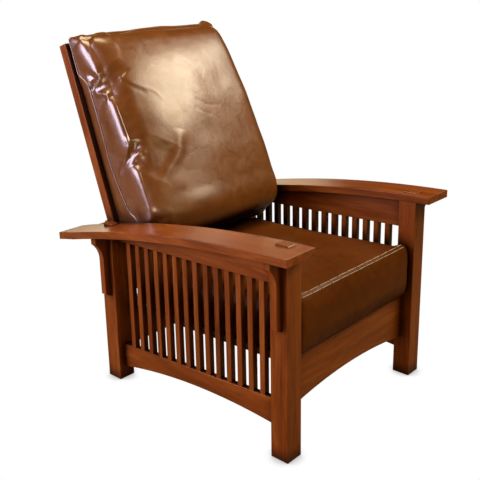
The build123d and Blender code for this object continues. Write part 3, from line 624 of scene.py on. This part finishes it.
def back_cushion():
    counts = BACK_CELLS
    index, faces = cube_grid(counts)
    verts = [back_point(*(i / n for i, n in zip(place, counts))) for place in index]
    pins = {}
    for place, number in index.items():
        if place[2] in (0, BACK_SEAM_CELLS):
            pins[number] = SEAM_HOLD
        elif place[2] < BACK_SEAM_CELLS:
            pins[number] = PANEL_HOLD
    verts = blow_up(verts, faces, pins, **BACK_CLOTH)
    places, normals, cells = subdivided(verts, faces)
    front = numpy.clip((places[:, 2] - WAVES_FROM) / WAVES_RUN, 0, 1)
    for wave in BACK_WAVES:
        places = waved(places, normals * front[:, None], *wave)
    places = creased(places, normals, BACK_FOLDS + BACK_EARS)
    aside = numpy.abs(places[:, 0])
    held = BACK_FREE + BACK_SPARE * (1 - numpy.exp(-(aside - BACK_FREE) / BACK_SPARE))
    places[:, 0] = numpy.sign(places[:, 0]) * numpy.where(aside > BACK_FREE, held, aside)
    cushion = new_piece("back_cushion", [on_back(*v) for v in places], cells, LEATHER, "back")
    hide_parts("back_cushion_cover", "back_cushion_core")
    ring = sorted(
        (number for place, number in index.items() if place[2] == BACK_SEAM_CELLS),
        key=lambda number: math.atan2(verts[number].y - WELT_MIDDLE, verts[number].x),
    )
    centre = Vector((0, WELT_MIDDLE, 0))
    welt = []
    for number in ring:
        place = Vector(places[number])
        away = (place - centre) * Vector((1, 1, 0))
        place += away.normalized() * WELT_PROUD
        place.x = min(max(place.x, -WELT_REACH), WELT_REACH)
        welt.append(on_back(*place))
    piping("back_cushion_welt", welt, WELT_RADIUS, "back")


# Seat cushion: its reach, the slope in degrees by which it falls to the rear, and a place on its base
SEAT_HALF = 0.2905
SEAT_FRONT = 0.010 - MIDDLE_Y
SEAT_REAR = 0.684 - MIDDLE_Y
SEAT_SLOPE = 1.9
SEAT_BASE = (0.058 - MIDDLE_Y, 0.2835)
SEAT_CELLS = (84, 96, 26)
# Thickness at the sides, what the middle and the front edge add, and how soon that fades behind the edge
SEAT_THICK = 0.166
SEAT_SWELL = 0.020
SEAT_SWELL_RUN = 0.05
SEAT_CROWN = 0.016
SEAT_EDGE = 0.022
# How far the boxing is drawn in at its top and bottom, and the share of that across
SEAT_PULL = 0.012
SEAT_PULL_ACROSS = 0.6
SEAT_CLOTH = {"pressure": 3.0, "slack": 0.004, "cap": 0.006}
SEAT_WAVE = (0.16, 0.0015, 5.3)
# The sunk seam along the front edge: height, width and sharpness, and the cells left out at its ends
SEAT_SEAM = (-0.0016, 0.0026, 2.0)
SEAT_SEAM_ENDS = 2
# Rows of stitches, by how far behind and below the seam they lie
STITCH_ROWS = ((0.0050, 0.0), (-0.001, 0.0062))
STITCH_LENGTH = 0.0046
STITCH_GAP = 0.0034
STITCH_RADIUS = 0.0011
STITCH_SIDES = 6
# Shares along a stitch, and of its full radius there
STITCH_PROFILE = ((0, 0.2), (0.18, 1), (0.82, 1), (1, 0.2))


def seat_point(a, b, c):
    """A place of the unswollen seat cushion, from shares across, back and up."""
    x = (2 * a - 1) * SEAT_HALF
    y = SEAT_FRONT + (SEAT_REAR - SEAT_FRONT) * b
    rise = SEAT_THICK + SEAT_SWELL * max(math.exp(-((b / SEAT_SWELL_RUN) ** 2)), 1 - (2 * a - 1) ** 6)
    crown = SEAT_CROWN * (1 - (2 * a - 1) ** 2) * (1 - (2 * b - 1) ** 2)
    z = rise * c
    place = rounded((x, y, z), (-SEAT_HALF, SEAT_FRONT, 0), (SEAT_HALF, SEAT_REAR, rise), SEAT_EDGE)
    height = place.z / rise
    place.z += crown * height
    pull = SEAT_PULL * (2 * height - 1) ** 4
    place.x -= pull * place.x / SEAT_HALF * SEAT_PULL_ACROSS
    place.y += pull * (1 - 2 * b)
    place.z += SEAT_BASE[1] - (place.y - SEAT_BASE[0]) * math.tan(math.radians(SEAT_SLOPE))
    return place


def stitches(name, rows, body):
    """Short raised stitches laid along rows of places on a skin."""
    verts, faces = [], []
    sides = STITCH_SIDES
    for row, normals in rows:
        travelled, due = 0.0, 0.0
        for start, end, normal in zip(row, row[1:], normals):
            step = (end - start).length
            while due + STITCH_LENGTH <= travelled + step:
                first = start + (end - start) * max(0.0, (due - travelled) / step)
                ahead = (end - start).normalized()
                side = normal.cross(ahead).normalized()
                base = len(verts)
                for share, swell in STITCH_PROFILE:
                    centre = first + ahead * STITCH_LENGTH * share + normal * STITCH_RADIUS * (swell - 0.5)
                    for turn in range(sides):
                        angle = math.tau * turn / sides
                        spoke = side * math.cos(angle) + normal * math.sin(angle)
                        verts.append(centre + spoke * STITCH_RADIUS * swell)
                last = len(verts) - sides
                for low in range(base, last, sides):
                    for turn in range(sides):
                        after = (turn + 1) % sides
                        faces.append((low + turn, low + after, low + sides + after, low + sides + turn))
                faces.append(tuple(base + turn for turn in reversed(range(sides))))
                faces.append(tuple(last + turn for turn in range(sides)))
                due += STITCH_LENGTH + STITCH_GAP
            travelled += step
    new_piece(name, verts, faces, THREAD, body)


def seat_cushion():
    counts = SEAT_CELLS
    index, faces = cube_grid(counts)
    verts = [seat_point(*(i / n for i, n in zip(place, counts))) for place in index]
    pins = {}
    for place, number in index.items():
        on_rim = place[0] in (0, counts[0]) or place[1] in (0, counts[1])
        if place[2] == 0 or place[2] == counts[2] and on_rim:
            pins[number] = SEAM_HOLD
    verts = blow_up(verts, faces, pins, **SEAT_CLOTH)
    places, normals, cells = subdivided(verts, faces)
    places = waved(places, normals, *SEAT_WAVE)
    edge = [index[(i, 0, counts[2])] for i in range(SEAT_SEAM_ENDS, counts[0] - SEAT_SEAM_ENDS + 1)]
    line = [Vector(places[number]) for number in edge]
    places = creased(places, normals, [(*SEAT_SEAM, [tuple(v) for v in line])])
    cushion = new_piece("seat_cushion", [Vector(v) for v in places], cells, SHADED_SEAT_LEATHER, "root")
    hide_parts("seat_cushion_cover", "seat_cushion_core")
    skin = BVHTree.FromPolygons([Vector(v) for v in places], cells)
    rows = []
    for back, down in STITCH_ROWS:
        hits = [skin.find_nearest(place + Vector((0, back, -down))) for place in line]
        rows.append(([hit[0] for hit in hits], [hit[1] for hit in hits]))
    stitches("seat_cushion_stitches", rows, "root")


# Lights: name, place, target, size, power and colour
LIGHTS = (
    ("window", (-2.5, 1.3, 1.3), (-0.1, 0, 0.7), (1.7, 1.9), 100, (0.74, 0.72, 1.0)),
    ("side", (-1.7, -1.1, 0.6), (-0.3, -0.2, 0.4), (0.8, 0.8), 11, (1.0, 0.80, 0.62)),
    ("softbox", (1.66, -1.72, 3.05), (-0.10, 0.20, 0.95), (3.1, 1.35), 156, (1.0, 0.985, 0.86)),
    ("top", (-0.6, 0.6, 3.6), (-0.1, 0, 0.5), (1.8, 1.8), 68, (1.0, 0.84, 0.56)),
    ("backdrop", (2.0, 3.2, 1.2), (0, 0, 0.6), (3.5, 1.8), 34, (1.0, 0.84, 0.56)),
    ("front", (-0.6, -3.6, 1.5), (0, 0, 0.5), (1.5, 1.5), 12, (1.0, 0.98, 0.60)),
)
ROOM_COLOUR = (1.0, 0.82, 0.60, 1)
ROOM_STRENGTH = 0.025
FLOOR_COLOUR = (0.20, 0.14, 0.08, 1)
FLOOR_REACH = 8.0
# The contact shade under the legs
CONTACT = (0.05, [(0.25, (0.25, 0.24, 0.23)), (0.85, WHITE)])
CONTACT_SAMPLES = 8


def area_light(name, place, target, size, power, colour):
    data = bpy.data.lights.new(name, "AREA")
    data.shape = "ELLIPSE"
    data.size, data.size_y = size
    data.energy = power
    data.color = colour
    light = bpy.data.objects.new(name, data)
    light.location = place
    light.rotation_euler = (Vector(target) - Vector(place)).to_track_quat("-Z", "Y").to_euler()
    bpy.context.scene.collection.objects.link(light)


def seen_apart(t, lit, seen):
    """A shader that lights the object in one way and shows the camera another."""
    path = t.add("ShaderNodeLightPath")
    return t.add("ShaderNodeMixShader", {
        0: path.outputs["Is Camera Ray"], 1: lit.outputs[0], 2: seen.outputs[0]}).outputs[0]


def studio():
    scene = bpy.context.scene
    scene.view_settings.view_transform = "Standard"
    world = bpy.data.worlds.new("studio")
    world.use_nodes = True
    scene.world = world
    t = Tree(world)
    room = t.add("ShaderNodeBackground", {"Color": ROOM_COLOUR, "Strength": ROOM_STRENGTH})
    white = t.add("ShaderNodeBackground", {"Color": (*WHITE, 1), "Strength": 1.0})
    t.add("ShaderNodeOutputWorld", {"Surface": seen_apart(t, room, white)})
    for light in LIGHTS:
        area_light(*light)
    r = FLOOR_REACH
    floor = new_object("floor", [(-r, -r, 0), (r, -r, 0), (r, r, 0), (-r, r, 0)], [(0, 1, 2, 3)])
    material, t = new_material("white_floor")
    diffuse = t.add("ShaderNodeBsdfDiffuse", {"Color": FLOOR_COLOUR})
    bright = t.add("ShaderNodeEmission", {"Color": t.painted_corner_shade(*CONTACT, CONTACT_SAMPLES), "Strength": 1.0})
    t.add("ShaderNodeOutputMaterial", {"Surface": seen_apart(t, diffuse, bright)})
    floor.data.materials.append(material)


add_camera()
studio()
dress_nodes()
back_cushion()
seat_cushion()
